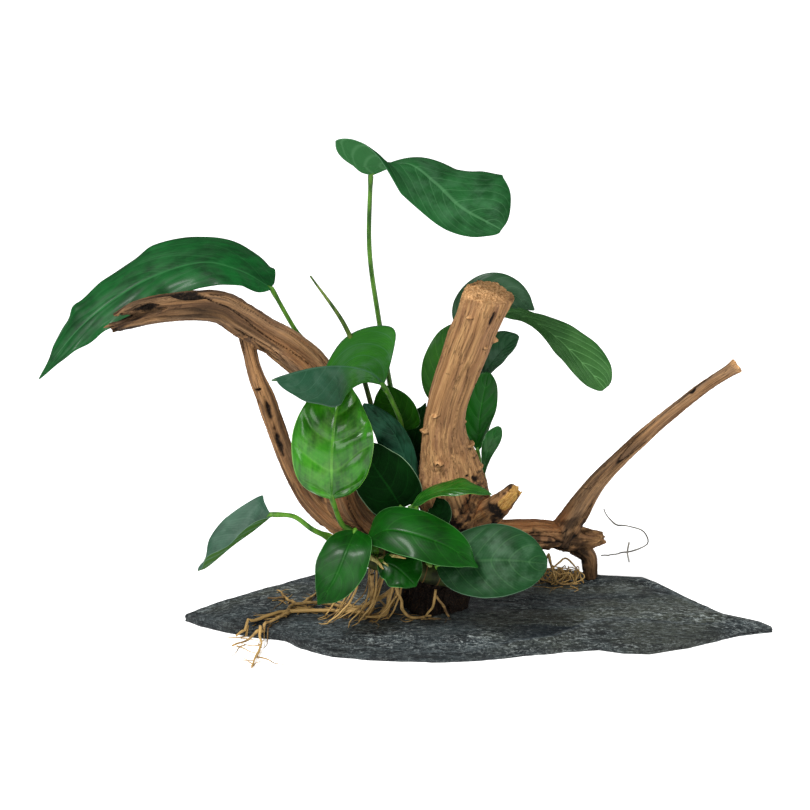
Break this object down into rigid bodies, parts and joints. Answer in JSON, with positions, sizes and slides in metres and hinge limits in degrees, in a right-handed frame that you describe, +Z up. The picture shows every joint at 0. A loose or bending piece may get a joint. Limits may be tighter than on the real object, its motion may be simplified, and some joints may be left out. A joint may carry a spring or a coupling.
{
  "type": "anubias plant on driftwood",
  "caption": "Broad-leaved anubias plant rooted on branching driftwood that stands on a flat slate slab, for an aquarium.",
  "frame": {"origin": "on the flat underside of the slate slab, near its middle", "axes": "+Z up, away from the surface that the slab rests on; +X along the slab towards its long right-hand point, as seen from the front; -Y towards the front, where the low leaves face"},
  "size_m": [0.372, 0.1241, 0.2437],
  "materials": {
    "driftwood": "matte",
    "driftwood_dark": "matte",
    "leaf_bright": "satin",
    "stem": "satin",
    "leaf_blue": "satin",
    "leaf_dark": "satin",
    "leaf_mid": "satin",
    "leaf_deep": "satin",
    "leaf_olive": "satin",
    "rhizome": "matte",
    "root_grey": "matte",
    "root": "matte",
    "slate": "matte"
  },
  "bodies": {
    "root": {"driftwood_arch": "driftwood", "driftwood_arm": "driftwood", "driftwood_base": "driftwood_dark", "driftwood_branch": "driftwood", "driftwood_foot": "driftwood_dark", "driftwood_strut": "driftwood", "driftwood_stub": "driftwood", "driftwood_trunk": "driftwood", "leaf_bright": "leaf_bright", "leaf_bright_stem": "stem", "leaf_dark_curled": "leaf_blue", "leaf_dark_curled_stem": "stem", "leaf_dark_middle": "leaf_dark", "leaf_dark_middle_stem": "stem", "leaf_folded": "leaf_blue", "leaf_folded_stem": "stem", "leaf_front_left": "leaf_mid", "leaf_front_left_stem": "stem", "leaf_front_low": "leaf_mid", "leaf_front_low_stem": "stem", "leaf_front_middle": "leaf_mid", "leaf_front_middle_stem": "stem", "leaf_front_right": "leaf_deep", "leaf_front_right_stem": "stem", "leaf_low_left": "leaf_blue", "leaf_low_left_stem": "stem", "leaf_olive": "leaf_olive", "leaf_olive_stem": "stem", "leaf_over_arch": "leaf_deep", "leaf_over_arch_stem": "stem", "leaf_right_high": "leaf_dark", "leaf_right_high_stem": "stem", "leaf_right_long": "leaf_mid", "leaf_right_long_stem": "stem", "leaf_right_low": "leaf_mid", "leaf_right_low_stem": "stem", "leaf_right_middle": "leaf_mid", "leaf_right_middle_stem": "stem", "leaf_small_inner": "leaf_dark", "leaf_small_inner_stem": "stem", "leaf_top": "leaf_mid", "leaf_top_stem": "stem", "leaf_trunk_front": "leaf_mid", "leaf_trunk_front_stem": "stem", "leaf_trunk_left_high": "leaf_mid", "leaf_trunk_left_high_stem": "stem", "leaf_trunk_left_low": "leaf_dark", "leaf_trunk_left_low_stem": "stem", "leaf_trunk_top": "leaf_deep", "leaf_trunk_top_stem": "stem", "new_leaf_spear": "leaf_olive", "rhizome_back": "rhizome", "rhizome_front": "rhizome", "root_loop": "root_grey", "roots_back": "root", "roots_bunch": "root", "roots_front": "root", "slate_slab": "slate"}
  },
  "joints": []
}
